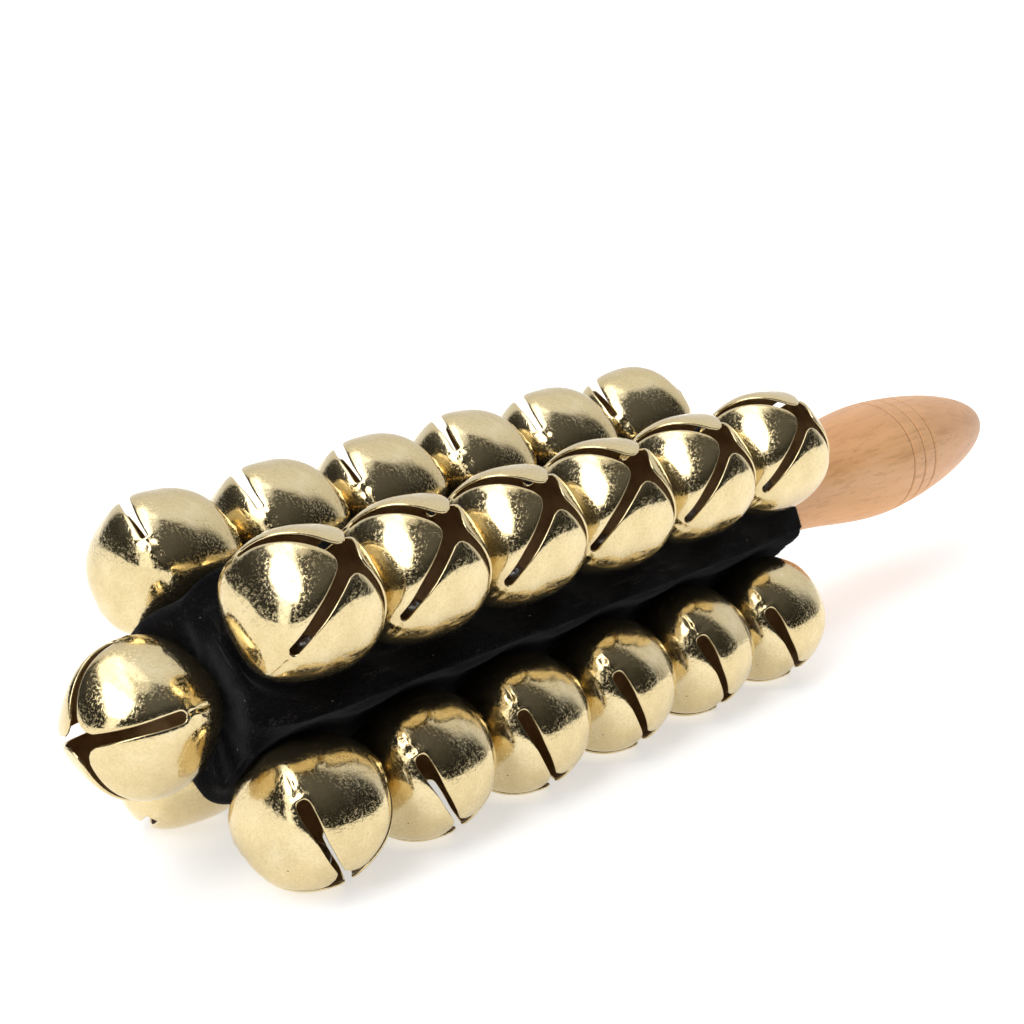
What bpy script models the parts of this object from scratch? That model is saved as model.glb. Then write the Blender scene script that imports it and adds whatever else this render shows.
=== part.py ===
"""Sleigh bells: rows of jingle bells round a velvet-covered bar on a turned wooden handle.

The stick lies on its two lower rows. X runs along it towards the handle's tip, Z is up,
and the origin is under the middle of its box, on the surface it lies on.
"""
import bmesh
import bpy
from math import asin, cos, pi, radians, sin, sqrt
from mathutils import Matrix, Vector

# ---- driving dimensions, in metres ----
BELL_RADIUS = 0.014            # nominal: half of a 28 mm bell
BELL_FLAT = 0.915 * BELL_RADIUS    # from the axis to the middle of a petal's side
BELL_CROWN = 0.97 * BELL_RADIUS    # from the centre to where the crown would close
BELL_BASE = 0.99 * BELL_RADIUS     # the same towards the base, before it is flattened
SEAT_DEPTH = 0.80 * BELL_RADIUS    # from the centre to the flat seat
SECTION_POWER = 2.9            # rounded square: 2 is a circle
PROFILE_POWER = 2.15           # side view of the bell: 2 is an ellipse
SHEET = 0.0006                 # thickness of the bell metal
SLOT_HALF = 0.0011             # half the width of a slot
SLOT_END_HALF = 0.0014         # half its width at the keyhole end
STAR_RADIUS = 0.0033           # petal tips to the bell's axis
SHOULDER = radians(81)         # where a slot starts to close, from the crown
SLOT_END = radians(87)         # the very end of a slot

BELLS_IN_ROW = 6
PITCH = 0.0263                 # bell to bell along a row
ROW_RADIUS = 0.0269            # stick axis to bell centres
END_BELL_X = -0.0208           # centre of the end bell, from the first ring of bells
END_BELL_TURN = -28            # degrees that its slots are turned about its own axis
END_BELL_LEAN = -3             # degrees that its crown leans to the back; below 0 it leans to the front

PELLET_RADIUS = 0.003
PELLET_DROP = 0.009            # bell centre to pellet centre, with the pellet at the bottom

FIT_GAP = 0.0003               # between pieces that touch
VELVET = 0.0014                # thickness of the cloth
PILE = 0.001                   # depth of its pile, which the bells stand in
BAR_CORNER = 0.0016            # rounding of the covered bar's long edges
BAR_END_X = 0.1455             # end of the bar at the handle

SCREW_HOLE_RADIUS = 0.0016
SCREW_HOLE_DEPTH = 0.009       # below the bar's surface
TENON_RADIUS = 0.006
TENON_LENGTH = 0.028

HANDLE_LENGTH = 0.1058         # from its shoulder, against the bar, to its tip
NECK_RADIUS = 0.0109           # at the shoulder
WAIST = 0.013                  # from the shoulder to the thinnest place
WAIST_RADIUS = 0.0102
BELLY = 0.055                  # from the shoulder to the thickest place
BELLY_RADIUS = 0.0139
TAIL_POWER = 1.6               # how full the handle's end is: 2 is an ellipse
GROOVES = (0.0554, 0.0606, 0.0658)    # burnt lines, from the shoulder
GROOVE_HALF = 0.0005
GROOVE_DEPTH = 0.0005

# ---- the four rows ----
ROWS = {                       # the way each row faces: sideways, upwards
    "upper_front": (-1, 1),
    "upper_back": (1, 1),
    "lower_front": (-1, -1),
    "lower_back": (1, -1),
}
# Bells fixed by hand don't stand quite straight: degrees that each leans towards the
# handle, and that its slots are turned about its own axis, from the end bell onwards.
LEANS = {
    "upper_front": (12, 6, 4, 0, 4, 6),
    "upper_back": (-1, -4, -2, 2, 0, -4),
    "lower_front": (-4, 2, 0, 3, 3, 2),
    "lower_back": (3, -2, 4, 0, -3, 2),
}
TURNS = {
    "upper_front": (-4, -4, -3, -9, -3, -5),
    "upper_back": (6, 5, -1, 3, -2, -10),
    "lower_front": (-6, -8, -9, -11, -12, -4),
    "lower_back": (5, -6, 2, 8, -4, 7),
}

# ---- how finely the round pieces are cut into flats ----
PETAL_COLUMNS = (-1, -1 / 3, 1 / 3, 1)    # across a petal, from slot to slot
PETAL_ROWS = (radians(34), radians(59))   # between its tip and its shoulder, from the crown
FLANK = radians(115)           # a ring between the shoulder and the seat
SEAT_HOLE_SIDES = 8
BAR_HOLE_SIDES = 6
TURNED_SIDES = 20
CORNER_STEPS = 3
NECK_STEPS = 8
TAIL_STEPS = 8

# ---- places that follow from them ----
SEAT_SHRINK = (1 - (SEAT_DEPTH / BELL_BASE) ** PROFILE_POWER) ** (1 / PROFILE_POWER)
SEAT_RIM = 1.1 * BELL_FLAT * SEAT_SHRINK      # the seat's corners, from the bell's axis
COVER_HALF = ROW_RADIUS - SEAT_DEPTH - PILE
COVER_START_X = END_BELL_X + SEAT_DEPTH + PILE
CORE_HALF = COVER_HALF - VELVET - FIT_GAP
CORE_START_X = COVER_START_X + VELVET + FIT_GAP
SHOULDER_X = BAR_END_X + FIT_GAP
ALONG = Vector((1, 0, 0))
DOWN = Vector((0, 0, -1))


def material(name, colour, roughness, metallic=0.0):
    """A plain Principled material."""
    made = bpy.data.materials.new(name)
    made.use_nodes = True
    shader = made.node_tree.nodes["Principled BSDF"]
    shader.inputs["Base Color"].default_value = (*colour, 1.0)
    shader.inputs["Roughness"].default_value = roughness
    shader.inputs["Metallic"].default_value = metallic
    return made


def mesh_from(bm, name, finish=None, sharp_angle=radians(40)):
    """Turns a bmesh into a smooth-shaded mesh that keeps its hard edges."""
    bmesh.ops.recalc_face_normals(bm, faces=bm.faces)
    mesh = bpy.data.meshes.new(name)
    bm.to_mesh(mesh)
    bm.free()
    mesh.shade_smooth()
    mesh.set_sharp_from_angle(angle=sharp_angle)
    if finish:
        mesh.materials.append(finish)
    return mesh


def place(name, mesh, parent, matrix=Matrix()):
    """One object for one piece."""
    piece = bpy.data.objects.new(name, mesh)
    bpy.context.scene.collection.objects.link(piece)
    piece.parent = parent
    piece.matrix_local = matrix
    return piece


def solidify(piece, thickness):
    """Gives a skin its thickness, inwards."""
    skin = piece.modifiers.new("sheet", "SOLIDIFY")
    skin.thickness = thickness
    skin.offset = -1
    skin.use_even_offset = True


def cutter(name, bm, parent):
    """A hidden body that Boolean modifiers take away."""
    tool = place(name, mesh_from(bm, name), parent)
    tool.hide_render = True
    tool.display_type = "WIRE"
    return tool


def cut(piece, tool):
    """Takes a cutter out of a piece."""
    boolean = piece.modifiers.new("cut_" + tool.name, "BOOLEAN")
    boolean.operation = "DIFFERENCE"
    boolean.solver = "EXACT"
    boolean.object = tool


# ---- bells ----
def bell_point(polar, around):
    """A point of the bell's skin: polar from the crown, around from a petal's middle."""
    across = BELL_FLAT * (abs(cos(around)) ** SECTION_POWER
                          + abs(sin(around)) ** SECTION_POWER) ** (-1 / SECTION_POWER)
    along = BELL_CROWN if polar < pi / 2 else BELL_BASE
    reach = (abs(sin(polar) / across) ** PROFILE_POWER
             + abs(cos(polar) / along) ** PROFILE_POWER) ** (-1 / PROFILE_POWER)
    return Vector((reach * sin(polar) * cos(around), reach * sin(polar) * sin(around), reach * cos(polar)))


def seat_point(around):
    """A point of the rim of the flat seat."""
    edge = bell_point(pi / 2, around) * SEAT_SHRINK
    return Vector((edge.x, edge.y, -SEAT_DEPTH))


def petal_span(polar, slot_half):
    """Half the angle that a petal takes up around the axis, beside slots of this width."""
    reach = bell_point(polar, pi / 4).to_2d().length
    return pi / 4 - asin(slot_half / reach)


def add_strip(bm, upper, lower, closed):
    """Joins two rows of points with faces."""
    count = len(upper)
    for i in range(count if closed else count - 1):
        after = (i + 1) % count
        bm.faces.new((upper[i], upper[after], lower[after], lower[i]))


def add_petal(bm, middle):
    """One petal, from its tip at the star to its shoulder; returns the shoulder's points."""
    tip = asin(STAR_RADIUS / BELL_CROWN)
    levels = [(polar, SLOT_HALF) for polar in (tip, *PETAL_ROWS)] + [(SHOULDER, SLOT_END_HALF)]
    grid = []
    for polar, slot_half in levels:
        span = petal_span(polar, slot_half)
        grid.append([bm.verts.new(bell_point(polar, middle + step * span)) for step in PETAL_COLUMNS])
    for upper, lower in zip(grid, grid[1:]):
        add_strip(bm, upper, lower, closed=False)
    return grid[-1]


def bell_mesh(finish):
    """The bell's outer skin: four petals on a cup with a flat seat and a screw hole."""
    bm = bmesh.new()
    span = petal_span(SHOULDER, SLOT_END_HALF)
    shoulder = []
    columns = []
    for quarter in range(4):
        middle = quarter * pi / 2
        shoulder += add_petal(bm, middle) + [bm.verts.new(bell_point(SLOT_END, middle + pi / 4))]
        columns += [middle + step * span for step in PETAL_COLUMNS] + [middle + pi / 4]
    flank = [bm.verts.new(bell_point(FLANK, around)) for around in columns]
    seat = [bm.verts.new(seat_point(around)) for around in columns]
    add_strip(bm, shoulder, flank, closed=True)
    add_strip(bm, flank, seat, closed=True)
    hole = bmesh.ops.create_circle(bm, segments=SEAT_HOLE_SIDES, radius=SCREW_HOLE_RADIUS,
                                   matrix=Matrix.Translation(DOWN * SEAT_DEPTH))["verts"]
    rims = [edge for edge in bm.edges
            if all(v in seat for v in edge.verts) or all(v in hole for v in edge.verts)]
    bmesh.ops.bridge_loops(bm, edges=rims)
    return mesh_from(bm, "bell", finish)


def bell_centre(straight, facing, lean):
    """A leaning bell stands on the edge of its seat, so its centre is a little further out."""
    lift = max(0.0, SEAT_RIM * sin(radians(abs(lean))) - (PILE - FIT_GAP))
    return straight + facing * lift


def add_bell(label, shell, stick, centre, facing, lean, turn):
    """A sheet-metal bell whose crown points along facing, but for its lean and turn."""
    aim = facing.to_track_quat("Z", "X").to_matrix().to_4x4()
    lean_axis = DOWN if facing == -ALONG else facing.cross(ALONG)
    tilt = Matrix.Rotation(radians(lean), 4, lean_axis)
    own_turn = Matrix.Rotation(radians(turn), 4, "Z")
    bell = place("bell_" + label, shell, stick, Matrix.Translation(centre) @ tilt @ aim @ own_turn)
    solidify(bell, SHEET)


def pellet_mesh(finish):
    """A small steel ball."""
    bm = bmesh.new()
    bmesh.ops.create_icosphere(bm, subdivisions=2, radius=PELLET_RADIUS)
    return mesh_from(bm, "pellet", finish, sharp_angle=pi)


def add_screw_hole(holes, origin, facing, near, far):
    """A small hole along facing, from near to far as measured from origin."""
    aim = Matrix.Translation(origin) @ facing.to_track_quat("Z", "X").to_matrix().to_4x4()
    bmesh.ops.create_cone(holes, cap_ends=True, segments=BAR_HOLE_SIDES, radius1=SCREW_HOLE_RADIUS,
                          radius2=SCREW_HOLE_RADIUS, depth=far - near,
                          matrix=aim @ Matrix.Translation((0, 0, (near + far) / 2)))


def add_bells(stick, shell, ball):
    """The rows and the end bell, each with its pellet; returns the cutter for their screws."""
    holes = bmesh.new()
    for row, (side, up) in ROWS.items():
        facing = Vector((0, side, up)).normalized()
        for number in range(BELLS_IN_ROW):
            on_axis = ALONG * number * PITCH
            lean = LEANS[row][number]
            centre = bell_centre(on_axis + facing * ROW_RADIUS, facing, lean)
            label = f"{row}_{number + 1}"
            add_bell(label, shell, stick, centre, facing, lean, TURNS[row][number])
            place("pellet_" + label, ball, stick, Matrix.Translation(centre + DOWN * PELLET_DROP))
            add_screw_hole(holes, on_axis, facing, CORE_HALF - SCREW_HOLE_DEPTH, ROW_RADIUS)
    centre = bell_centre(ALONG * END_BELL_X, -ALONG, END_BELL_LEAN)
    add_bell("end", shell, stick, centre, -ALONG, END_BELL_LEAN, END_BELL_TURN)
    place("pellet_end", ball, stick, Matrix.Translation(centre + DOWN * PELLET_DROP))
    add_screw_hole(holes, Vector(), -ALONG, -CORE_START_X - SCREW_HOLE_DEPTH, -END_BELL_X)
    return cutter("cutter_screw_holes", holes, stick)


# ---- bar, velvet and handle ----
def bar_mesh(name, half, corner, start_x, finish, open_end=False):
    """A square bar with rounded long edges, standing on one edge like a diamond."""
    outline = []
    for quarter in range(4):
        spin = Matrix.Rotation(quarter * pi / 2 + pi / 4, 2)
        for step in range(CORNER_STEPS + 1):
            angle = step / CORNER_STEPS * pi / 2
            reach = Vector((half - corner, half - corner)) + corner * Vector((cos(angle), sin(angle)))
            outline.append(spin @ reach)
    bm = bmesh.new()
    start = bm.faces.new([bm.verts.new((start_x, y, z)) for y, z in outline])
    swept = bmesh.ops.extrude_face_region(bm, geom=[start])["geom"]
    moved = [item for item in swept if isinstance(item, bmesh.types.BMVert)]
    bmesh.ops.translate(bm, vec=ALONG * (BAR_END_X - start_x), verts=moved)
    if open_end:
        bm.faces.remove(next(item for item in swept if isinstance(item, bmesh.types.BMFace)))
    return mesh_from(bm, name, finish)


def tenon_socket(stick):
    """The cutter for the hole in the bar's end that takes the handle's tenon."""
    bm = bmesh.new()
    deep_x = SHOULDER_X - TENON_LENGTH - FIT_GAP
    middle = Matrix.Translation(ALONG * (deep_x + SHOULDER_X) / 2) @ Matrix.Rotation(pi / 2, 4, "Y")
    bmesh.ops.create_cone(bm, cap_ends=True, segments=TURNED_SIDES, radius1=TENON_RADIUS + FIT_GAP,
                          radius2=TENON_RADIUS + FIT_GAP, depth=SHOULDER_X - deep_x, matrix=middle)
    return cutter("cutter_tenon_socket", bm, stick)


def handle_radius(along):
    """The turned outline: a neck, a waist, a belly and a rounded tail."""
    if along < WAIST:
        blend = (1 + cos(pi * along / WAIST)) / 2
        return WAIST_RADIUS + (NECK_RADIUS - WAIST_RADIUS) * blend
    if along < BELLY:
        blend = (1 - cos(pi * (along - WAIST) / (BELLY - WAIST))) / 2
        return WAIST_RADIUS + (BELLY_RADIUS - WAIST_RADIUS) * blend
    tail = (along - BELLY) / (HANDLE_LENGTH - BELLY)
    return BELLY_RADIUS * sqrt(1 - tail ** TAIL_POWER)


def handle_outline():
    """Half the handle's section, from the tenon's end to the tip."""
    points = [(-TENON_LENGTH, 0.0), (-TENON_LENGTH, TENON_RADIUS), (0.0, TENON_RADIUS)]
    for step in range(NECK_STEPS):
        along = BELLY * step / NECK_STEPS
        points.append((along, handle_radius(along)))
    for groove in GROOVES:
        for along, depth in ((-GROOVE_HALF, 0.0), (0.0, GROOVE_DEPTH), (GROOVE_HALF, 0.0)):
            points.append((groove + along, handle_radius(groove + along) - depth))
    last = GROOVES[-1] + GROOVE_HALF
    for step in range(1, TAIL_STEPS):
        along = last + (HANDLE_LENGTH - last) * sin(step / TAIL_STEPS * pi / 2)
        points.append((along, handle_radius(along)))
    points.append((HANDLE_LENGTH, 0.0))
    return points


def handle_mesh(finish):
    """The outline spun round the stick's axis."""
    bm = bmesh.new()
    profile = [bm.verts.new((SHOULDER_X + along, radius, 0)) for along, radius in handle_outline()]
    for a, b in zip(profile, profile[1:]):
        bm.edges.new((a, b))
    bmesh.ops.spin(bm, geom=list(bm.verts) + list(bm.edges), cent=(0, 0, 0), axis=ALONG,
                   angle=2 * pi, steps=TURNED_SIDES, use_merge=True)
    bmesh.ops.remove_doubles(bm, verts=bm.verts, dist=1e-6)
    return mesh_from(bm, "handle", finish, sharp_angle=radians(35))


def stand_on_ground(stick):
    """Moves the whole stick so that the origin is under the middle of its box."""
    bpy.context.view_layer.update()
    corners = [piece.matrix_world @ vertex.co for piece in stick.children if not piece.hide_render
               for vertex in piece.data.vertices]
    low = [min(point[i] for point in corners) for i in range(3)]
    high = [max(point[i] for point in corners) for i in range(3)]
    stick.location = (-(low[0] + high[0]) / 2, -(low[1] + high[1]) / 2, -low[2])


def build():
    """Makes every piece, under one empty on the stick's axis at the first ring of bells."""
    for old in list(bpy.data.objects):
        bpy.data.objects.remove(old, do_unlink=True)
    brass = material("bell_metal", (0.80, 0.66, 0.42), 0.18, 1.0)
    steel = material("pellet_steel", (0.55, 0.55, 0.56), 0.35, 1.0)
    cloth = material("velvet", (0.012, 0.013, 0.016), 0.95)
    pine = material("core_wood", (0.62, 0.44, 0.26), 0.7)
    beech = material("handle_wood", (0.66, 0.47, 0.33), 0.45)

    stick = bpy.data.objects.new("stick_axis", None)
    bpy.context.scene.collection.objects.link(stick)
    screw_holes = add_bells(stick, bell_mesh(brass), pellet_mesh(steel))

    core = place("core_bar", bar_mesh("core_bar", CORE_HALF, BAR_CORNER / 2, CORE_START_X, pine), stick)
    cut(core, screw_holes)
    cut(core, tenon_socket(stick))
    cover = place("velvet_cover", bar_mesh("velvet_cover", COVER_HALF, BAR_CORNER, COVER_START_X, cloth,
                                           open_end=True), stick)
    solidify(cover, VELVET)
    cut(cover, screw_holes)
    place("handle", handle_mesh(beech), stick)
    stand_on_ground(stick)


build()
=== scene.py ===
from math import cos, pi, radians, sin, sqrt

import bmesh
import bpy
import numpy as np
from mathutils import Matrix, Vector


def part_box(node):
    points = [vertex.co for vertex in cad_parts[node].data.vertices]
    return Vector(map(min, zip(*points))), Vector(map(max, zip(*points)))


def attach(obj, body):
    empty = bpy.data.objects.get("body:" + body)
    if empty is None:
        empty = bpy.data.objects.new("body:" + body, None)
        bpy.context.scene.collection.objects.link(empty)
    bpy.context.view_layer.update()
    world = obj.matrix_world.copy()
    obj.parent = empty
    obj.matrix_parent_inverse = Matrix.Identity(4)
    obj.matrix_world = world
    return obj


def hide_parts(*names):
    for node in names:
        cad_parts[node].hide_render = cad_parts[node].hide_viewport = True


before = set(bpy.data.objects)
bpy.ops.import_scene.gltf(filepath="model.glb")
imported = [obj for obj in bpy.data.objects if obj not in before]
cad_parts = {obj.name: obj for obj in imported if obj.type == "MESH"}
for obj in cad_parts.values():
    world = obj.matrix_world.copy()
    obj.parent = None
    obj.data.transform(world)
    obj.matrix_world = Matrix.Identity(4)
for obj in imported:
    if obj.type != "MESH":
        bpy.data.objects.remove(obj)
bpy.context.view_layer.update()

# ---- the bells' own sizes, in metres: the same rules as the CAD shells follow ----
BELL_RADIUS = 0.014
BELL_FLAT = 0.915 * BELL_RADIUS
BELL_CROWN = 0.97 * BELL_RADIUS
BELL_BASE = 0.99 * BELL_RADIUS
SEAT_DEPTH = 0.80 * BELL_RADIUS
SECTION_POWER = 2.9
PROFILE_POWER = 2.15
SHEET = 0.0006
PITCH = 0.0263
ROW_RADIUS = 0.0269
END_BELL_X = -0.0208
END_BELL_TURN = -28
END_BELL_LEAN = -3
PELLET_RADIUS = 0.003
PELLET_DROP = 0.009

ROWS = {
    "upper_front": (-1, 1),
    "upper_back": (1, 1),
    "lower_front": (-1, -1),
    "lower_back": (1, -1),
}
LEANS = {
    "upper_front": (12, 6, 4, 0, 4, 6),
    "upper_back": (-1, -4, -2, 2, 0, -4),
    "lower_front": (-4, 2, 0, 3, 3, 2),
    "lower_back": (3, -2, 4, 0, -3, 2),
}
TURNS = {
    "upper_front": (-4, -4, -3, -9, -3, -5),
    "upper_back": (6, 5, -1, 3, -2, -10),
    "lower_front": (-6, -8, -9, -11, -12, -4),
    "lower_back": (5, -6, 2, 8, -4, 7),
}
# half the width of a slot at the star, halfway along and at its keyhole end
SLOTS = {
    "upper_front": (0.00135, 0.00125, 0.00095),
    "upper_back": (0.00125, 0.00115, 0.00080),
    "lower_front": (0.00075, 0.00100, 0.00150),
    "lower_back": (0.00085, 0.00105, 0.00140),
    "end": (0.00110, 0.00105, 0.00135),
}
TIP_DISTANCE = 0.0033          # petal tips to the bell's axis
TIP_CORNER = 0.0008            # how much a petal tip's corners are cut off, at most
SLOT_END = radians(87)

# ---- the stick ----
BAR_END_X = 0.1455
SHOULDER_X = 0.1458
HANDLE_LENGTH = 0.1058
NECK_RADIUS, WAIST, WAIST_RADIUS = 0.0109, 0.013, 0.0102
BELLY, BELLY_RADIUS, TAIL_POWER = 0.055, 0.0142, 1.6
HANDLE_RISE = 0.0006           # how far the handle's tip stands above the stick's axis
GROOVES = (0.0554, 0.0606, 0.0658)

handle_low, handle_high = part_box("handle")
AXIS = (handle_low + handle_high) / 2
AXIS.x = handle_high.x - SHOULDER_X - HANDLE_LENGTH   # the stick's axis at the first ring of bells
ALONG = Vector((1, 0, 0))
DOWN = Vector((0, 0, -1))


# ======================================================================== materials
class Paint:
    """A procedural material, built up node by node."""

    def __init__(self, name, **uniform):
        self.made = bpy.data.materials.new(name)
        self.made.use_nodes = True
        self.tree = self.made.node_tree
        self.shader = self.tree.nodes["Principled BSDF"]
        for socket, value in uniform.items():
            self.shader.inputs[socket.replace("_", " ")].default_value = value
        self.where = self.tree.nodes.new("ShaderNodeTexCoord").outputs["Object"]

    def node(self, kind, sockets=None, **settings):
        made = self.tree.nodes.new("ShaderNode" + kind)
        for key, value in settings.items():
            setattr(made, key, value)
        for key, value in (sockets or {}).items():
            if isinstance(value, bpy.types.NodeSocket):
                self.tree.links.new(value, made.inputs[key])
            else:
                made.inputs[key].default_value = value
        return made

    def stretched(self, scale, rotation=(0, 0, 0)):
        sockets = {"Vector": self.where, "Scale": scale, "Rotation": rotation}
        return self.node("Mapping", sockets).outputs[0]

    def noise(self, scale, detail=2.0, rough=0.5, vector=None, distortion=0.0):
        sockets = {"Vector": vector or self.where, "Scale": scale, "Detail": detail,
                   "Roughness": rough, "Distortion": distortion}
        return self.node("TexNoise", sockets).outputs["Fac"]

    def cells(self, scale):
        """Distance to the nearest of the points scattered in the space, for specks and pits."""
        return self.node("TexVoronoi", {"Vector": self.where, "Scale": scale}).outputs["Distance"]

    def ramp(self, value, *stops):
        """Maps a value through (position, colour or grey) stops."""
        made = self.node("ValToRGB", {"Fac": value})
        while len(made.color_ramp.elements) < len(stops):
            made.color_ramp.elements.new(0.5)
        for element, (position, colour) in zip(made.color_ramp.elements, stops):
            element.position = position
            element.color = (*colour, 1) if isinstance(colour, tuple) else (colour,) * 3 + (1,)
        return made.outputs["Color"]

    def mix(self, factor, a, b, blend="MIX"):
        made = self.node("Mix", data_type="RGBA", blend_type=blend)
        for key, value in (("Factor", factor), ("A", a), ("B", b)):
            socket = next(s for s in made.inputs if s.name == key and s.enabled)
            if isinstance(value, bpy.types.NodeSocket):
                self.tree.links.new(value, socket)
            elif isinstance(value, tuple):
                socket.default_value = (*value, 1)
            else:
                socket.default_value = value
        return next(s for s in made.outputs if s.enabled)

    def maths(self, operation, a, b=0.0, clamp=False):
        made = self.node("Math", operation=operation, use_clamp=clamp)
        for socket, value in zip(made.inputs, (a, b)):
            if isinstance(value, bpy.types.NodeSocket):
                self.tree.links.new(value, socket)
            else:
                socket.default_value = value
        return made.outputs[0]

    def bump(self, height, depth, strength=1.0, under=None):
        sockets = {"Height": height, "Distance": depth, "Strength": strength}
        if under:
            sockets["Normal"] = under
        return self.node("Bump", sockets).outputs[0]

    def connect(self, **sockets):
        for socket, value in sockets.items():
            self.tree.links.new(value, self.shader.inputs[socket.replace("_", " ")])
        return self.made


def bell_metal(name, scratched):
    """Pale plated brass: polished over a sandy grain, with small stains and pits; brushed if scratched."""
    paint = Paint(name, Metallic=0.97)
    patches = paint.noise(130, 3.0, 0.6)
    grain = paint.noise(2000, 3.0, 0.75)
    colour = paint.ramp(patches, (0.30, (0.67, 0.535, 0.285)), (0.55, (0.745, 0.61, 0.345)),
                        (0.75, (0.81, 0.685, 0.43)))
    colour = paint.mix(paint.ramp(grain, (0.40, 0.17), (0.54, 0.0)), colour, (0.36, 0.29, 0.15))
    stain = paint.ramp(paint.noise(300, 4.0, 0.7), (0.64, 0.0), (0.70, 0.5))
    colour = paint.mix(stain, colour, (0.58, 0.42, 0.19))
    pits = paint.ramp(paint.cells(170.0), (0.024, 0.8), (0.042, 0.0))
    colour = paint.mix(pits, colour, (0.20, 0.14, 0.07))
    roughness = paint.ramp(patches, (0.3, 0.05), (0.7, 0.12))
    normal = paint.bump(paint.noise(240, 2.0, 0.5), 0.00007, 0.4)
    normal = paint.bump(paint.noise(800, 3.0, 0.7), 0.00003, 0.35, under=normal)
    sand = paint.ramp(grain, (0.54, 0.0), (0.70, 1.0))
    normal = paint.bump(sand, 0.000016, 0.9, under=normal)
    if scratched:
        brushed = paint.noise(1000, 3.0, 0.7, vector=paint.stretched((0.08, 1.0, 1.6), (0.5, 0.3, 0.9)))
        crossed = paint.noise(1000, 3.0, 0.7, vector=paint.stretched((1.3, 0.09, 1.0), (0.2, 0.6, -0.4)))
        normal = paint.bump(paint.maths("ADD", brushed, crossed), 0.00004, 0.45, under=normal)
    return paint.connect(Base_Color=colour, Roughness=roughness, Normal=normal)


def bell_inside():
    """The unpolished inside of a bell: golden brown, dull."""
    paint = Paint("bell_inside", Metallic=0.35)
    patches = paint.noise(220, 3.0, 0.6)
    colour = paint.ramp(patches, (0.3, (0.34, 0.205, 0.085)), (0.7, (0.54, 0.35, 0.155)))
    roughness = paint.ramp(patches, (0.3, 0.42), (0.7, 0.6))
    normal = paint.bump(paint.noise(1500, 3.0), 0.00003, 0.5)
    return paint.connect(Base_Color=colour, Roughness=roughness, Normal=normal)


def steel(name, colour):
    """Plain steel with small tool marks."""
    paint = Paint(name, Metallic=1.0)
    marks = paint.noise(900, 4.0, 0.7)
    tint = paint.ramp(marks, (0.3, tuple(c * 0.7 for c in colour)), (0.7, colour))
    roughness = paint.ramp(marks, (0.3, 0.22), (0.7, 0.42))
    normal = paint.bump(marks, 0.00003, 0.5)
    return paint.connect(Base_Color=tint, Roughness=roughness, Normal=normal)


def velvet():
    """Black velvet: dense matt pile, paler where it is rubbed the wrong way, with a little lint."""
    paint = Paint("velvet_pile", Roughness=1.0, Sheen_Weight=0.16, Sheen_Roughness=0.35,
                  Sheen_Tint=(0.60, 0.60, 0.63, 1), Specular_IOR_Level=0.0)
    brushed = paint.noise(60, 3.0, 0.6, vector=paint.stretched((0.5, 1.0, 1.0)))
    pile = paint.noise(2600, 3.0, 0.75)
    dark = paint.ramp(brushed, (0.35, (0.0025, 0.0025, 0.0030)), (0.7, (0.0075, 0.0073, 0.0080)))
    dark = paint.mix(paint.ramp(pile, (0.55, 0.0), (0.72, 0.8)), dark, (0.022, 0.021, 0.022))
    rubbed = paint.noise(420, 3.0, 0.7, vector=paint.stretched((0.20, 1.0, 1.0)))
    worn = paint.maths("MULTIPLY", paint.ramp(rubbed, (0.54, 0.0), (0.68, 0.7)),
                       paint.ramp(pile, (0.45, 0.0), (0.6, 1.0)))
    dark = paint.mix(worn, dark, (0.045, 0.043, 0.043))
    specks = paint.ramp(paint.cells(230.0), (0.030, 1.0), (0.055, 0.0))
    fibres = paint.noise(1500, 3.0, 0.6, vector=paint.stretched((0.15, 1.0, 1.0), (0.3, 0.5, 0.2)))
    threads = paint.ramp(fibres, (0.735, 0.0), (0.76, 0.5))
    colour = paint.mix(paint.mix(0.5, specks, threads, "ADD"), dark, (0.15, 0.15, 0.155))
    normal = paint.bump(paint.noise(140, 2.0), 0.0004, 0.4)
    normal = paint.bump(pile, 0.00035, 0.9, under=normal)
    return paint.connect(Base_Color=colour, Normal=normal)


def beech():
    """Pinkish beech under a satin lacquer: short fine flecks along the grain, an ochre band."""
    paint = Paint("beech", Coat_Weight=0.12, Coat_Roughness=0.25, Specular_IOR_Level=0.3)
    grain = paint.noise(100, 4.0, 0.6, vector=paint.stretched((0.10, 1.0, 1.0)), distortion=0.3)
    colour = paint.ramp(grain, (0.30, (0.68, 0.33, 0.135)), (0.55, (0.83, 0.455, 0.215)),
                        (0.75, (0.90, 0.55, 0.31)))
    bands = paint.noise(38, 1.0, 0.5, vector=paint.stretched((0.25, 1.0, 1.0)))
    colour = paint.mix(paint.ramp(bands, (0.45, 0.0), (0.62, 0.6)), colour, (0.70, 0.34, 0.105))
    flecks = paint.noise(900, 3.0, 0.7, vector=paint.stretched((0.10, 1.0, 1.0), (0, 0, 0.06)))
    colour = paint.mix(paint.ramp(flecks, (0.50, 0.0), (0.66, 0.42)), colour, (0.56, 0.25, 0.10))
    dashes = paint.noise(1300, 2.0, 0.6, vector=paint.stretched((0.14, 1.0, 1.0)))
    colour = paint.mix(paint.ramp(dashes, (0.66, 0.0), (0.72, 0.45)), colour, (0.42, 0.17, 0.07))
    pores = paint.noise(3200, 2.0, 0.5, vector=paint.stretched((0.05, 1.0, 1.0)))
    roughness = paint.ramp(grain, (0.3, 0.38), (0.7, 0.5))
    normal = paint.bump(pores, 0.00004, 0.35)
    return paint.connect(Base_Color=colour, Roughness=roughness, Normal=normal)


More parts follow.
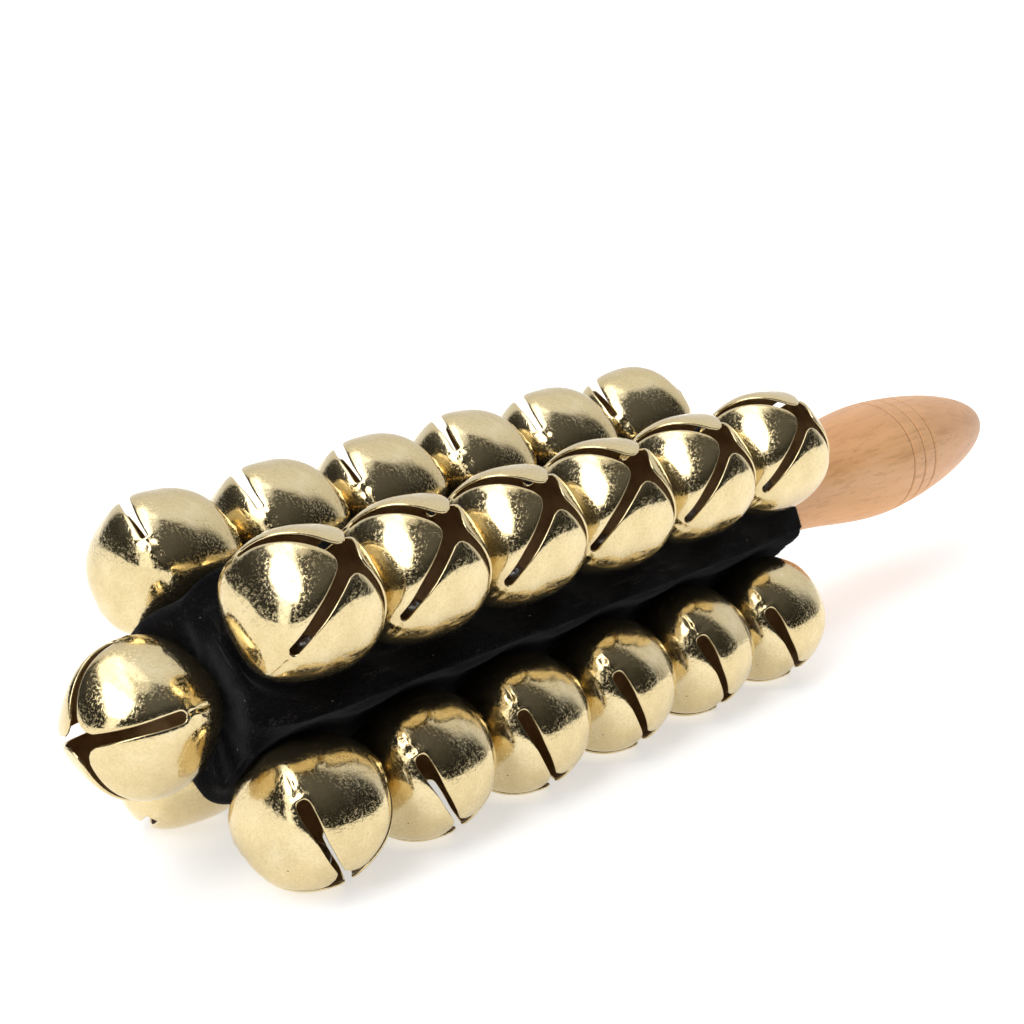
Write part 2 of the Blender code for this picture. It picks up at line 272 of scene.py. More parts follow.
def burnt_line():
    """The floor of a burnt groove."""
    paint = Paint("burnt_line")
    char = paint.noise(900, 3.0, 0.6, vector=paint.stretched((1.0, 1.0, 1.0)))
    colour = paint.ramp(char, (0.35, (0.10, 0.035, 0.015)), (0.7, (0.24, 0.10, 0.045)))
    return paint.connect(Base_Color=colour, Roughness=paint.ramp(char, (0.3, 0.6), (0.7, 0.8)))


def pine():
    """The bar inside: plain sawn softwood."""
    paint = Paint("pine")
    rings = paint.noise(70, 3.0, 0.6, vector=paint.stretched((0.06, 1.0, 1.0)), distortion=0.6)
    colour = paint.ramp(rings, (0.35, (0.42, 0.25, 0.12)), (0.6, (0.66, 0.46, 0.26)))
    return paint.connect(Base_Color=colour, Roughness=paint.ramp(rings, (0.3, 0.65), (0.7, 0.8)),
                         Normal=paint.bump(rings, 0.0001, 0.5))


# ======================================================================== mesh helpers
def mesh_object(name, points, faces, materials, face_slots=None):
    """One smooth-shaded object from arrays of points and quads or triangles."""
    mesh = bpy.data.meshes.new(name)
    mesh.from_pydata([tuple(p) for p in points], [], [tuple(f) for f in faces])
    for finish in materials:
        mesh.materials.append(finish)
    if face_slots is not None:
        mesh.polygons.foreach_set("material_index", np.asarray(face_slots, dtype=np.int32))
    mesh.shade_smooth()
    mesh.update()
    made = bpy.data.objects.new(name, mesh)
    bpy.context.scene.collection.objects.link(made)
    return made


def unit(vectors):
    """The same directions, one long."""
    return vectors / np.maximum(np.linalg.norm(vectors, axis=-1, keepdims=True), 1e-12)


def smooth_normals(points, faces):
    """Area-weighted normals at the points of a quad mesh, whose triangles repeat a corner."""
    a, b, c, d = (points[faces[:, i]] for i in range(4))
    flat = np.cross(c - a, d - b)
    total = np.zeros_like(points)
    for i in range(4):
        np.add.at(total, faces[:, i], flat)
    return unit(total)


def thickened(points, faces, thickness, round_out):
    """A skin of quads made into sheet metal: its inner side, and rounded rims at its edges.

    Returns points, faces and, for each face, 0 for the outer side and the rims and 1 for the inner side."""
    normals = smooth_normals(points, faces)
    count = len(points)
    inner = points - normals * thickness
    starts = faces[:, [0, 1, 2, 3]].ravel()
    ends = faces[:, [1, 2, 3, 0]].ravel()
    key = starts.astype(np.int64) * count + ends
    back = ends.astype(np.int64) * count + starts
    alone = ~np.isin(key, back) & (starts != ends)
    edge_a, edge_b = starts[alone], ends[alone]
    outward = np.zeros_like(points)
    along_rim = unit(points[edge_b] - points[edge_a])
    sideways = np.cross(along_rim, normals[edge_a] + normals[edge_b])
    np.add.at(outward, edge_a, sideways)
    np.add.at(outward, edge_b, sideways)
    rim = np.unique(np.concatenate([edge_a, edge_b]))
    outward = unit(outward[rim])
    place = np.full(count, -1)
    place[rim] = np.arange(len(rim))
    layers = [rim]
    made = [points, inner]
    for angle in (pi / 4, pi / 2, 3 * pi / 4):
        middle = (points[rim] + inner[rim]) / 2
        made.append(middle + thickness / 2 * (cos(angle) * normals[rim] + round_out * sin(angle) * outward))
        layers.append(2 * count + (len(layers) - 1) * len(rim) + np.arange(len(rim)))
    layers.append(rim + count)
    quads = [faces, faces[:, ::-1] + count]
    for upper, lower in zip(layers, layers[1:]):
        quads.append(np.stack([upper[place[edge_b]], upper[place[edge_a]],
                               lower[place[edge_a]], lower[place[edge_b]]], axis=1))
    slots = np.zeros(sum(len(q) for q in quads), dtype=int)
    slots[len(faces):2 * len(faces)] = 1
    return np.concatenate(made), np.concatenate(quads), slots


# ======================================================================== bells
def skin(polar, around):
    """Points of the bell's skin: polar from the crown, around from a petal's middle."""
    across = BELL_FLAT * (np.abs(np.cos(around)) ** SECTION_POWER
                          + np.abs(np.sin(around)) ** SECTION_POWER) ** (-1 / SECTION_POWER)
    along = np.where(polar < pi / 2, BELL_CROWN, BELL_BASE)
    reach = ((np.abs(np.sin(polar)) / across) ** PROFILE_POWER
             + (np.abs(np.cos(polar)) / along) ** PROFILE_POWER) ** (-1 / PROFILE_POWER)
    flat = reach * np.sin(polar)
    return np.stack([flat * np.cos(around), flat * np.sin(around), reach * np.cos(polar)], axis=-1)


# the skin's line down a corner, where a slot runs: polar angle, distance s from the crown, and reach
FINE = np.linspace(0.01, pi - 0.01, 800)
CORNER_LINE = skin(FINE, np.full_like(FINE, pi / 4))
CORNER_S = np.concatenate([[0], np.cumsum(np.linalg.norm(np.diff(CORNER_LINE, axis=0), axis=1))])
CORNER_S += BELL_CROWN * FINE[0]
CORNER_REACH = np.linalg.norm(CORNER_LINE[:, :2], axis=1)


def smoothstep(low, high, value):
    """0 up to low, 1 from high on, smooth between."""
    t = np.clip((value - low) / (high - low), 0, 1)
    return t * t * (3 - 2 * t)


def slot_half_width(s, s_end, widths):
    """Half the slot's width at a distance s from the crown, closing in a round keyhole at s_end."""
    at_star, middle, keyhole = widths
    t = np.clip(s / s_end, 0, 1)
    open_half = np.where(t < 0.55, at_star + (middle - at_star) * smoothstep(0.15, 0.55, t),
                         middle + (keyhole - middle) * smoothstep(0.55, 0.86, t))
    past = np.clip((s - (s_end - keyhole)) / keyhole, 0, 1)
    return open_half * np.sqrt(np.maximum(0, 1 - past ** 2))


def petal_rows(s_end, keyhole):
    """Distances from the crown along a slot, and the index of the row where the slot has closed."""
    tip = TIP_DISTANCE
    corner = [tip + TIP_CORNER * t for t in (0, 0.12, 0.35, 0.65, 1.0)]
    straight = list(np.linspace(corner[-1], s_end - keyhole, 17))[1:]
    closing = [s_end - keyhole + keyhole * sin(a) for a in np.linspace(0, pi / 2, 6)][1:]
    rows = corner + straight + closing
    below = s_end + 0.0075 * np.linspace(0, 1, 19)[1:] ** 1.15
    last = CORNER_S[-1] - 0.0012
    rest = np.linspace(below[-1], last, 14)[1:]
    return np.array(rows + list(below) + list(rest)), len(rows) - 1


HALF_COLUMNS = 12              # columns of faces from a petal's middle to its edge
DENTS = 14                     # on each bell


def bell_grid(widths, s_end):
    """The outer skin of one bell as points and quads, in its own frame, crown up."""
    t = np.linspace(0, 1, HALF_COLUMNS + 1)
    half = 1 - (1 - t) ** 1.55                      # columns crowd towards the slots
    steps = np.concatenate([-half[::-1], half[1:]])
    columns = len(steps)
    rows, closed = petal_rows(s_end, widths[2])
    width = slot_half_width(rows, s_end, widths)
    width[closed:] = 0
    reach = np.maximum(np.interp(rows, CORNER_S, CORNER_REACH), 1e-5)
    near_tip = np.clip(1 - (rows - TIP_DISTANCE) / TIP_CORNER, 0, 1)
    corner = min(TIP_CORNER, 0.6 * (0.7 * TIP_DISTANCE - widths[0])) * near_tip ** 1.3
    span = pi / 4 - np.arcsin(np.clip((width + corner) / reach, 0, 0.95))   # a petal's middle to its edge
    tip_arch = 0.0875 * np.exp(-((rows - TIP_DISTANCE) / 0.002) ** 2)
    polar_of = np.interp(rows, CORNER_S, FINE)
    points = np.zeros((len(rows), 4, columns, 3))
    for quarter in range(4):
        for i, step in enumerate(steps):
            around = step * span
            points[:, quarter, i] = skin(polar_of + tip_arch * around ** 2, quarter * pi / 2 + around)
    index = np.arange(points[..., 0].size).reshape(points.shape[:3])
    for quarter in range(4):
        index[closed:, (quarter + 1) % 4, 0] = index[closed:, quarter, columns - 1]
    upper_left, upper_right = index[:-1, :, :-1], index[:-1, :, 1:]
    lower_left, lower_right = index[1:, :, :-1], index[1:, :, 1:]
    quads = np.stack([upper_left, lower_left, lower_right, upper_right], axis=-1).reshape(-1, 4)
    used, packed = np.unique(quads, return_inverse=True)
    return points.reshape(-1, 3)[used], packed.reshape(-1, 4)


def corner_frame(points):
    """For each point: how far sideways from the nearest slot's line, how far down it, and which slot."""
    around = np.arctan2(points[:, 1], points[:, 0])
    off = around % (pi / 2) - pi / 4
    flat = np.linalg.norm(points[:, :2], axis=1)
    polar = np.arctan2(flat, points[:, 2])
    quarter = np.round((around - pi / 4) / (pi / 2)).astype(int) % 4
    return flat * np.sin(off), np.interp(polar, FINE, CORNER_S), quarter


def worked(points, faces, s_end, widths, ridge_scale, dice):
    """Adds what pressing and folding leave in the metal: rolled slot edges, pinched creases, dents."""
    normals = smooth_normals(points, faces)
    side, s, quarter = corner_frame(points)

    # the slots' edges are rolled inwards
    width = slot_half_width(s, s_end, widths)
    from_edge = np.abs(side) - width
    on_petal = 1 - smoothstep(s_end - 0.001, s_end + 0.001, s)
    move = -0.00016 * np.exp(-np.maximum(from_edge, 0) / 0.0006) * on_petal

    # below each keyhole the spare metal is folded under a ridge, and puckered
    below = s - s_end
    depth = dice.uniform(0.75, 1.25, 4)[quarter]
    wander = dice.uniform(-0.0004, 0.0004, 4)[quarter]
    line = side - wander * np.sin(np.clip(below, 0, 0.008) / 0.008 * pi)
    grow = 0.00012 + 0.00028 * smoothstep(0.0, 0.006, below)
    fade = smoothstep(-0.0012, 0.0006, below) * (1 - smoothstep(0.0060, 0.0110, below))
    ridge = grow * np.exp(-(line / 0.0022) ** 2) * fade
    fold_fade = smoothstep(0.0000, 0.0008, below) * (1 - smoothstep(0.0030, 0.0075, below))
    fold = -0.00034 * np.exp(-((line - 0.0003) / 0.00024) ** 2) * fold_fade
    crinkle = np.sin(below / 0.00050 + dice.uniform(0, 6) + 500 * line)
    crinkle += 0.7 * np.sin(side / 0.00038 + 900 * below)
    pucker = 0.00013 * crinkle * np.exp(-(line / 0.0015) ** 2) * np.exp(-((below - 0.0016) / 0.0017) ** 2)
    move += depth * (ridge_scale * ridge + fold + pucker)

    # broad shallow dents and swellings
    outward = unit(points)
    for _ in range(DENTS):
        towards = unit(dice.normal(size=3))
        tight = dice.uniform(0.16, 0.45)
        push = dice.uniform(-0.00012, 0.00009)
        move += push * np.exp((outward @ towards - 1) / tight ** 2)
    out = points + normals * move[:, None]
    out[:, 2] = np.maximum(out[:, 2], -SEAT_DEPTH)
    return out


def bell_matrix(centre, facing, lean, turn):
    """A bell's place: its crown faces outwards, then leans along the stick; it turns about its own axis."""
    aim = facing.to_track_quat("Z", "X").to_matrix().to_4x4()
    lean_axis = DOWN if facing == -ALONG else facing.cross(ALONG)
    tilt = Matrix.Rotation(radians(lean), 4, lean_axis)
    return Matrix.Translation(centre) @ tilt @ aim @ Matrix.Rotation(radians(turn), 4, "Z")


def all_bells():
    """(label, row, facing, lean, turn) for every bell."""
    for row, (side, up) in ROWS.items():
        facing = Vector((0, side, up)).normalized()
        for number in range(6):
            yield f"{row}_{number + 1}", row, facing, LEANS[row][number], TURNS[row][number]
    yield "end", "end", -ALONG, END_BELL_LEAN, END_BELL_TURN


def add_shell(label, row, matrix, finishes, dice):
    """One bell of sheet metal, in place of its plain shell."""
    widths = tuple(w * dice.uniform(0.93, 1.07) for w in SLOTS[row])
    s_end = float(np.interp(SLOT_END, FINE, CORNER_S))
    points, faces = bell_grid(widths, s_end)
    points = worked(points, faces, s_end, widths, 0.3 if row == "end" else 1.0, dice)
    points, faces, slots = thickened(points, faces, SHEET, 0.7)
    shell = mesh_object("shell_" + label, points, faces, finishes, slots)
    shell.matrix_world = matrix
    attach(shell, "stick")
    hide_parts("bell_" + label)


def pellet_mesh(finish):
    """A steel ball with the flats and the band that rolling leaves on it."""
    bm = bmesh.new()
    bmesh.ops.create_icosphere(bm, subdivisions=4, radius=PELLET_RADIUS)
    for vertex in bm.verts:
        outward = vertex.co.normalized()
        band = 0.00006 * np.exp(-(outward.z / 0.10) ** 2)
        flats = 0.00012 * max(0.0, abs(outward.x) - 0.93) / 0.07
        flats += 0.0001 * max(0.0, abs(outward.y) - 0.95) / 0.05
        vertex.co = outward * (PELLET_RADIUS - 0.00006 + band - flats)
    mesh = bpy.data.meshes.new("ball")
    bm.to_mesh(mesh)
    bm.free()
    mesh.materials.append(finish)
    mesh.shade_smooth()
    return mesh


def screw_mesh(finish):
    """A pan-head screw's head with a cross recess, its washer face down at z = 0."""
    bm = bmesh.new()
    outline = [(0.0, 0.0), (0.0026, 0.0), (0.0028, 0.0003), (0.00275, 0.0007), (0.0024, 0.0012),
               (0.0017, 0.00155), (0.0009, 0.0017), (0.0, 0.00175)]
    profile = [bm.verts.new((radius, 0, height)) for radius, height in outline]
    for a, b in zip(profile, profile[1:]):
        bm.edges.new((a, b))
    bmesh.ops.spin(bm, geom=list(bm.verts) + list(bm.edges), cent=(0, 0, 0), axis=(0, 0, 1),
                   angle=2 * pi, steps=32, use_merge=True)
    bmesh.ops.remove_doubles(bm, verts=bm.verts, dist=1e-6)
    bmesh.ops.recalc_face_normals(bm, faces=bm.faces)
    head = bpy.data.meshes.new("screw_head")
    bm.to_mesh(head)
    bm.free()
    head.shade_smooth()
    head.set_sharp_from_angle(angle=radians(40))
    head.materials.append(finish)
    return cross_cut(head)


def cross_cut(head):
    """The same head with two crossed grooves taken out of its top."""
    base = bpy.data.objects.new("screw_base", head)
    bpy.context.scene.collection.objects.link(base)
    tools = []
    for turned in (0, pi / 2):
        bm = bmesh.new()
        bmesh.ops.create_cube(bm, size=1.0)
        placed = Matrix.Rotation(turned, 4, "Z") @ Matrix.Translation((0, 0, 0.0016))
        bmesh.ops.transform(bm, verts=bm.verts, matrix=placed @ Matrix.Diagonal((0.0029, 0.0006, 0.0016, 1)))
        mesh = bpy.data.meshes.new("groove")
        bm.to_mesh(mesh)
        bm.free()
        tool = bpy.data.objects.new("groove", mesh)
        bpy.context.scene.collection.objects.link(tool)
        boolean = base.modifiers.new("groove", "BOOLEAN")
        boolean.operation = "DIFFERENCE"
        boolean.object = tool
        tools.append(tool)
    cut = base.evaluated_get(bpy.context.evaluated_depsgraph_get())
    shaped = bpy.data.meshes.new_from_object(cut)
    for helper in tools + [base]:
        bpy.data.objects.remove(helper, do_unlink=True)
    return shaped


def add_copy(name, mesh, matrix, body, node=None):
    """An object of a mesh that several share, riding a body and, if given, in place of a CAD node."""
    made = bpy.data.objects.new(name, mesh)
    bpy.context.scene.collection.objects.link(made)
    made.matrix_world = matrix
    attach(made, body)
    if node:
        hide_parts(node)


def add_bells():
    """Every bell with its pellet and its screw; the lower rows rub on what the stick is laid down on."""
    bright, brushed = bell_metal("bell_bright", False), bell_metal("bell_brushed", True)
    inside = bell_inside()
    ball = pellet_mesh(steel("pellet_steel", (0.50, 0.49, 0.47)))
    screw = screw_mesh(steel("screw_steel", (0.62, 0.60, 0.55)))
    for number, (label, row, facing, lean, turn) in enumerate(all_bells()):
        dice = np.random.default_rng(40 + number)
        low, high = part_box("pellet_" + label)
        at = (low + high) / 2
        matrix = bell_matrix(at - DOWN * PELLET_DROP, facing, lean, turn)
        outer = brushed if row.startswith("lower") else bright
        add_shell(label, row, matrix, (outer, inside), dice)
        spin = Matrix.Rotation(dice.uniform(0, 2 * pi), 4, dice.normal(size=3))
        add_copy("ball_" + label, ball, Matrix.Translation(at) @ spin, "pellet_" + label,
                 "pellet_" + label)
        seat = Matrix.Translation((0, 0, SHEET - SEAT_DEPTH + 0.0001))
        turned = Matrix.Rotation(dice.uniform(0, pi / 2), 4, "Z")
        add_copy("screw_" + label, screw, matrix @ seat @ turned, "stick")


# ======================================================================== velvet
COVER_HALF = ROW_RADIUS - SEAT_DEPTH - 0.001
COVER_START_X = END_BELL_X + SEAT_DEPTH + 0.001
CLOTH = 0.0011                 # thickness of the velvet
RIDGE_LIFT = 0.0030            # how far the loose velvet stands off the bar's edges
PUFF_BACK = 0.0058             # how far the velvet puffs out past the end, behind the end bell
PUFF_FRONT = 0.0012            # and in front of it
RING_RADIUS = 0.0142           # of that puffed fold
HEM = 0.0014                   # the raw edge stops this far short of the bar's end
COVER_SIDES = 192
FRINGE_HAIRS = 5200
LOOSE_HAIRS = 9000
HAIR_RADIUS = 0.000035


def from_ridge(around):
    """Angle from the nearest of the bar's long edges; around is 0 at the top edge."""
    return (around + pi / 4) % (pi / 2) - pi / 4


def ridgeness(around):
    """1 on the bar's long edges, falling to 0 on the flats that the bells stand on."""
    return np.exp(-(from_ridge(around) / 0.30) ** 2)


def cover_reach(x, around, waves):
    """Distance of the velvet from the stick's axis."""
    off = from_ridge(around)
    flat = COVER_HALF / np.maximum(np.cos(pi / 4 - np.abs(off)), 0.5)
    sideways = flat * np.sin(pi / 4 - np.abs(off))       # from the line that the bells stand on
    nearest = np.round(np.clip(x, 0, 5 * PITCH) / PITCH) * PITCH
    away = np.hypot(x - nearest, sideways)               # from the nearest bell's axis
    puff = smoothstep(0.0088, 0.0150, away)
    lift = RIDGE_LIFT * (1 - 0.55 * smoothstep(BAR_END_X - 0.022, BAR_END_X, x))
    wave = sum(a * np.sin(k * x * 2 * pi + p) * np.sin(m * around + q) for a, k, p, m, q in waves)
    rounding = -0.0018 * np.exp(-(off / 0.11) ** 2)
    return flat + puff * (0.0007 + lift * np.exp(-(off / 0.22) ** 2) + wave) + rounding


def cover_rings():
    """The velvet's outer side as rings of (x, radius), from its raw edge to under the end bell."""
    dice = np.random.default_rng(7)
    waves = [(dice.uniform(0.00003, 0.00009), dice.uniform(8, 32), dice.uniform(0, 6),
              int(dice.integers(1, 7)), dice.uniform(0, 6)) for _ in range(9)]
    around = np.linspace(0, 2 * pi, COVER_SIDES + 1)[:-1]
    ridge = ridgeness(around)
    ragged = 0.00025 * np.sin(17 * around) + 0.0002 * np.sin(41 * around + 1.0)
    ragged += dice.uniform(0, 0.0002, COVER_SIDES)
    far = BAR_END_X - HEM * (0.4 + 0.9 * ridge) + ragged
    turn_in = -0.0088 + 0.0088 * ridge                   # where the velvet starts to roll over the end
    rings = []
    for share in np.linspace(0, 1, 211):
        x = far + (turn_in - far) * share
        rings.append((x, cover_reach(x, around, waves)))
    start = rings[-1][1]
    pleats = 0.00022 * np.sin(9 * around + 1.0) + 0.00015 * np.sin(15 * around + 2.2)
    ring_radius = RING_RADIUS + 0.0012 * ridge
    behind = np.exp(-(((around - pi / 4 + pi) % (2 * pi) - pi) / 0.75) ** 2)
    ring_x = COVER_START_X - PUFF_FRONT - (PUFF_BACK - PUFF_FRONT) * behind
    for angle in np.linspace(0, pi / 2, 19)[1:]:
        bulge = 0.0016 * (1 - ridge) * sin(2 * angle)
        x = turn_in + (ring_x - turn_in) * sin(angle) + pleats * sin(angle) ** 2
        rings.append((x, ring_radius + (start - ring_radius) * cos(angle) + bulge))
    for share in np.linspace(0, 1, 13)[1:]:
        x = ring_x + (COVER_START_X - ring_x) * smoothstep(0.0, 0.55, share) + pleats * (1 - share)
        rings.append((x, ring_radius + (0.0024 - ring_radius) * share))
    return around, rings


def add_velvet():
    """The velvet sleeve: pinned down under each bell, loose along the edges, tucked in at the end."""
    around, rings = cover_rings()
    ring_x = np.array([x for x, _ in rings])
    reach = np.array([r for _, r in rings])
    points = np.stack([ring_x, reach * np.sin(around), reach * np.cos(around)], axis=-1)
    index = np.arange(points[..., 0].size).reshape(reach.shape)
    turned = np.roll(index, -1, axis=1)
    quads = np.stack([index[:-1], turned[:-1], turned[1:], index[1:]], axis=-1).reshape(-1, 4)
    flat_points = points.reshape(-1, 3)
    normal = np.cross(flat_points[quads[:, 2]] - flat_points[quads[:, 0]],
                      flat_points[quads[:, 3]] - flat_points[quads[:, 1]])
    if (normal * flat_points[quads].mean(axis=1)).sum() < 0:
        quads = quads[:, ::-1]
    finish = velvet()
    sleeve, faces, _ = thickened(flat_points + np.array(AXIS), quads, CLOTH, 0.9)
    cover = mesh_object("velvet_sleeve", sleeve, faces, [finish])
    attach(cover, "stick")
    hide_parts("velvet_cover")
    add_pile(points, finish)


def add_pile(points, finish):
    """Short fibres as thin spikes: a fringe along the raw edge, and loose hairs standing off the folds."""
    dice = np.random.default_rng(23)
    columns = points.shape[1]
    roots, tips = [], []
    for _ in range(FRINGE_HAIRS):
        column = dice.integers(columns)
        after = (column + 1) % columns
        share = dice.uniform()
        root = points[0, column] * (1 - share) + points[0, after] * share
        outward = unit(root * (0, 1, 1))
        root = root - outward * dice.uniform(0, CLOTH)
        root = root - np.array([0.0006 * dice.uniform(), 0, 0])
        aim = unit(np.array([1.0, 0, 0]) + outward * dice.uniform(-0.1, 0.7) + dice.normal(size=3) * 0.35)
        roots.append(root)
        tips.append(root + aim * dice.uniform(0.0004, 0.0011))
    for _ in range(LOOSE_HAIRS):
        row = int(dice.integers(2, len(points) - 12))
        column = int(dice.integers(columns))
        root = points[row, column] + dice.normal(size=3) * 0.0002
        along = points[row + 1, column] - points[row - 1, column]
        across = points[row, (column + 1) % columns] - points[row, column - 1]
        outward = unit(np.cross(along, across))
        outward = outward * np.sign(outward @ (root * (0.2, 1, 1)))
        roots.append(root - outward * 0.0003)
        tips.append(root + unit(outward + dice.normal(size=3) * 0.45) * dice.uniform(0.0003, 0.0006))
    roots, tips = np.array(roots) + np.array(AXIS), np.array(tips) + np.array(AXIS)
    aim = unit(tips - roots)
    side = unit(np.cross(aim, dice.normal(size=aim.shape)))
    other = np.cross(aim, side)
    corners = [roots + HAIR_RADIUS * (cos(a) * side + sin(a) * other) for a in (0, 2 * pi / 3, 4 * pi / 3)]
    count = len(roots)
    base, one, two, tip = (np.arange(count) + i * count for i in range(4))
    faces = np.concatenate([np.stack(corner, 1) for corner in
                            ((base, one, tip), (one, two, tip), (two, base, tip), (base, two, one))])
    hairs = mesh_object("velvet_pile", np.concatenate(corners + [tips]), faces, [finish])
    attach(hairs, "stick")


# ======================================================================== handle and bar
def handle_radius(along):
    """The turned outline: a neck, a waist, a belly and a round tail, by distance from the shoulder."""
    if along < WAIST:
        blend = (1 + cos(pi * along / WAIST)) / 2
        return WAIST_RADIUS + (NECK_RADIUS - WAIST_RADIUS) * blend
    if along < BELLY:
        blend = (1 - cos(pi * (along - WAIST) / (BELLY - WAIST))) / 2
        return WAIST_RADIUS + (BELLY_RADIUS - WAIST_RADIUS) * blend
    tail = (along - BELLY) / (HANDLE_LENGTH - BELLY)
    return BELLY_RADIUS * sqrt(max(0.0, 1 - tail ** TAIL_POWER))


HANDLE_SIDES = 112
BURNT_DEPTH = 0.00010          # a groove is black where it is deeper than this


def groove_depth(along):
    """How deep the burnt lines cut at a place along the handle."""
    return sum(0.00042 * np.exp(-((along - g) / 0.00026) ** 2) for g in GROOVES)


def add_handle():
    """The turned handle with its three burnt lines."""
    stations = set(np.linspace(0.0, GROOVES[-1] + 0.002, 110))
    for groove in GROOVES:
        stations |= set(groove + np.linspace(-0.0009, 0.0009, 15))
    stations = sorted(stations)
    last = stations[-1]
    stations += [last + (HANDLE_LENGTH - last) * sin(a) for a in np.linspace(0, pi / 2, 60)[1:-1]]
    sides = HANDLE_SIDES
    around = np.linspace(0, 2 * pi, sides + 1)[:-1]
    rings = [(0.0, 0.004), (0.0, NECK_RADIUS - 0.0006)]
    for along in stations:
        eased = 0.0003 * np.exp(-along / 0.0002)         # the shoulder's edge
        rings.append((along + 0.0003, handle_radius(along) - groove_depth(along) - eased))
    points = [(AXIS.x + SHOULDER_X + along, AXIS.y + radius * cos(a),
               AXIS.z + radius * sin(a) + HANDLE_RISE * along / HANDLE_LENGTH)
              for along, radius in rings for a in around]
    points.append((AXIS.x + SHOULDER_X + HANDLE_LENGTH, AXIS.y, AXIS.z + HANDLE_RISE))
    faces, slots = [], []
    for ring in range(len(rings) - 1):
        middle = (rings[ring][0] + rings[ring + 1][0]) / 2
        burnt = int(groove_depth(middle) > BURNT_DEPTH)
        here, there = ring * sides, (ring + 1) * sides
        for i in range(sides):
            after = (i + 1) % sides
            faces.append((here + i, here + after, there + after, there + i))
            slots.append(burnt)
    tip, base = len(points) - 1, (len(rings) - 1) * sides
    for i in range(sides):
        faces.append((base + i, base + (i + 1) % sides, tip))
        slots.append(0)
    faces.append(tuple(range(sides))[::-1])
    slots.append(0)
    wood = mesh_object("turned_handle", points, faces, [beech(), burnt_line()], slots)
    wood.data.flip_normals()
    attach(wood, "stick")
    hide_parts("handle")


def dress_core():
    """The bar keeps its CAD shape: only its end shows, at the handle's shoulder."""
    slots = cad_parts["core_bar"].data.materials
    slots.clear()
    slots.append(pine())


# ======================================================================== stage
CAMERA_FROM_AXIS = Vector((-0.19669, -0.25838, 0.12403))
CAMERA_RIGHT = Vector((0.687861, -0.725465, -0.023416))
CAMERA_DOWN = Vector((-0.217885, -0.175603, -0.960047))
CAMERA_FORWARD = Vector((0.692368, 0.66548, -0.278858))
CAMERA_LENS, CAMERA_SENSOR = 67.36, 36   # in mm
FLOOR_GLOW = 0.55              # lifts the floor to the backdrop's white


def add_camera():
    """The camera, placed from the stick's axis at the first ring of bells."""
    data = bpy.data.cameras.new("camera")
    data.lens = CAMERA_LENS
    data.sensor_width = CAMERA_SENSOR
    data.clip_start, data.clip_end = 0.01, 100
    camera = bpy.data.objects.new("camera", data)
    bpy.context.scene.collection.objects.link(camera)
    turn = Matrix((CAMERA_RIGHT, -CAMERA_DOWN, -CAMERA_FORWARD)).transposed().to_4x4()
    camera.matrix_world = Matrix.Translation(AXIS + CAMERA_FROM_AXIS) @ turn
    bpy.context.scene.camera = camera


def add_floor():
    """A plain white floor, a hair under the lowest bells."""
    bm = bmesh.new()
    bmesh.ops.create_circle(bm, cap_ends=True, segments=96, radius=30.0)
    mesh = bpy.data.meshes.new("floor")
    bm.to_mesh(mesh)
    bm.free()
    paint = Paint("floor_white", Roughness=0.9, Specular_IOR_Level=0.1)
    tone = paint.ramp(paint.noise(3.0, 2.0), (0.3, 0.78), (0.7, 0.80))
    paint.shader.inputs["Emission Color"].default_value = (1, 1, 1, 1)
    paint.shader.inputs["Emission Strength"].default_value = FLOOR_GLOW
    mesh.materials.append(paint.connect(Base_Color=tone))
    floor = bpy.data.objects.new("floor", mesh)
    bpy.context.scene.collection.objects.link(floor)
    floor.location.z = -0.0002


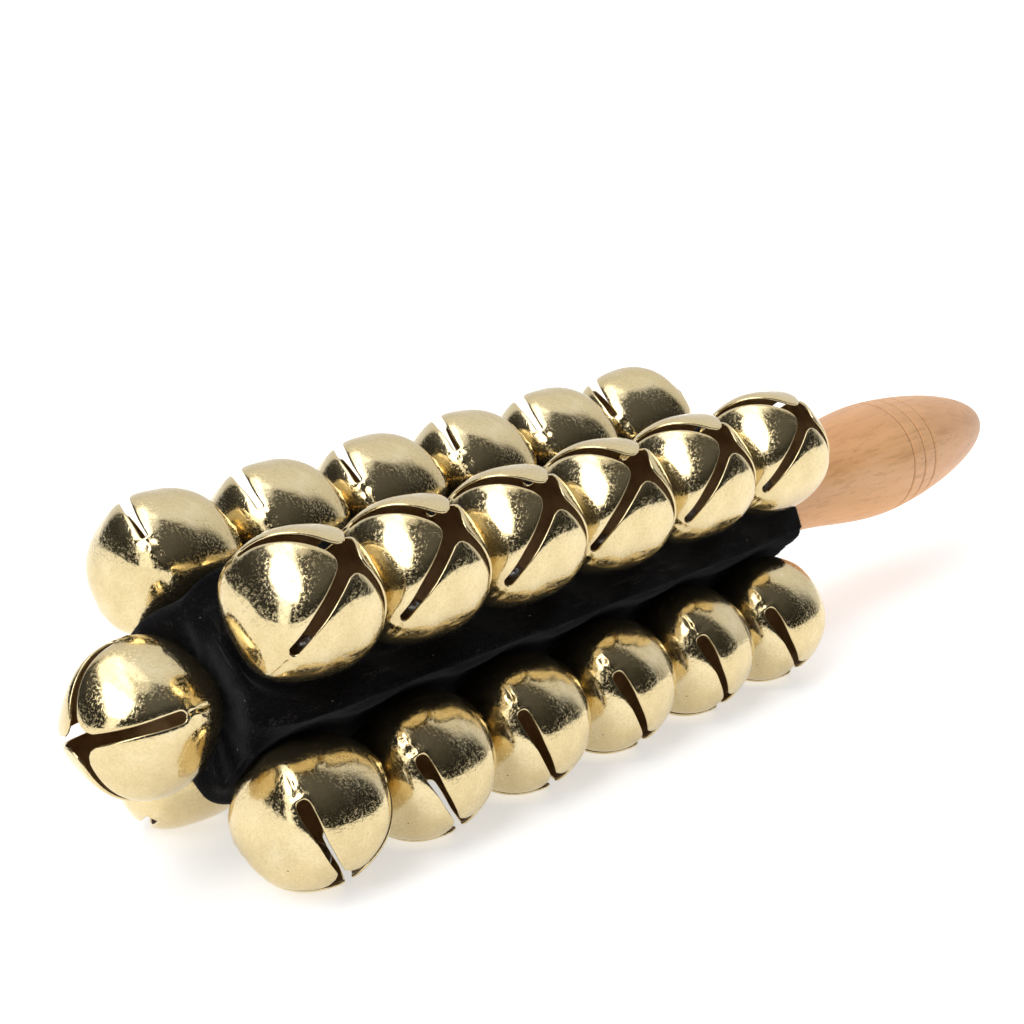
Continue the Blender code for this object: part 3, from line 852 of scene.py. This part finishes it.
class Sky(Paint):
    """The studio round the object, as brightness by direction: dark, with soft lit areas."""

    def __init__(self, name):
        self.made = bpy.data.worlds.new(name)
        self.made.use_nodes = True
        self.tree = self.made.node_tree
        self.where = self.tree.nodes.new("ShaderNodeTexCoord").outputs["Generated"]

    def along(self, direction):
        """How far the looked-in direction points along another one."""
        dot = self.node("VectorMath", operation="DOT_PRODUCT")
        self.tree.links.new(self.where, dot.inputs[0])
        dot.inputs[1].default_value = direction
        return dot.outputs["Value"]

    def fade(self, value, low, high):
        """0 up to low, 1 from high on, smooth between; falling if high is under low."""
        made = self.node("MapRange", {"Value": value, "From Min": low, "From Max": high},
                         interpolation_type="SMOOTHSTEP")
        return made.outputs["Result"]

    def panel(self, azimuth, elevation, half_width, half_height, soft):
        """A soft-edged rectangle that hangs in a direction; sizes are in degrees."""
        centre = direction(azimuth, elevation)
        side = Vector((-sin(radians(azimuth)), cos(radians(azimuth)), 0))
        rise = centre.cross(side)
        depth = self.maths("MAXIMUM", self.along(centre), 0.001)
        shape = self.fade(self.along(centre), 0.0, 0.1)
        for axis, half in ((side, half_width), (rise, half_height)):
            off = self.maths("ABSOLUTE", self.maths("DIVIDE", self.along(axis), depth))
            edge = np.tan(radians(half))
            shape = self.maths("MULTIPLY", shape, self.fade(off, edge * (1 + soft), edge * (1 - soft)))
        return shape

    def sector(self, azimuth, half_width, soft):
        """A soft-edged wedge of the walls, from floor to ceiling."""
        ahead = direction(azimuth, 0)
        side = Vector((-ahead.y, ahead.x, 0))
        angle = self.maths("ABSOLUTE", self.maths("ARCTAN2", self.along(side), self.along(ahead)))
        return self.fade(angle, radians(half_width + soft), radians(half_width - soft))


def direction(azimuth, elevation):
    """The unit vector at an angle from +X round towards +Y, and up, in degrees."""
    flat = cos(radians(elevation))
    return Vector((flat * cos(radians(azimuth)), flat * sin(radians(azimuth)), sin(radians(elevation))))


def add_world():
    """Dark studio, a white sweep behind the object, a large soft box and a strip below it."""
    sky = Sky("studio")
    height = sky.along(Vector((0, 0, 1)))
    dark = sky.maths("ADD", 0.018, sky.maths("MULTIPLY", sky.fade(height, 0.3, 0.95), 0.10))
    light = dark
    for mask, strength in (
            (sky.sector(36, 56, 7), 0.85),
            (sky.fade(height, 0.95, 0.99), 0.9),
            (sky.panel(140, 70, 26, 15, 0.3), 2.2),
            (sky.panel(187, 46, 15, 17, 0.22), 4.6),
            (sky.panel(184, 14, 9, 24, 0.4), 1.7)):
        light = sky.maths("ADD", light, sky.maths("MULTIPLY", mask, strength))
    seen = sky.node("LightPath").outputs["Is Camera Ray"]    # the backdrop itself is plain white
    light = sky.maths("MAXIMUM", light, seen)
    sky.tree.links.new(light, sky.tree.nodes["Background"].inputs["Strength"])
    sky.tree.nodes["Background"].inputs["Color"].default_value = (1, 1, 1, 1)
    sky.made.cycles.sampling_method = "MANUAL"
    sky.made.cycles.sample_map_resolution = 512
    bpy.context.scene.world = sky.made


add_camera()
add_floor()
add_world()
add_bells()
add_velvet()
add_handle()
dress_core()
bpy.context.scene.view_settings.view_transform = "Standard"
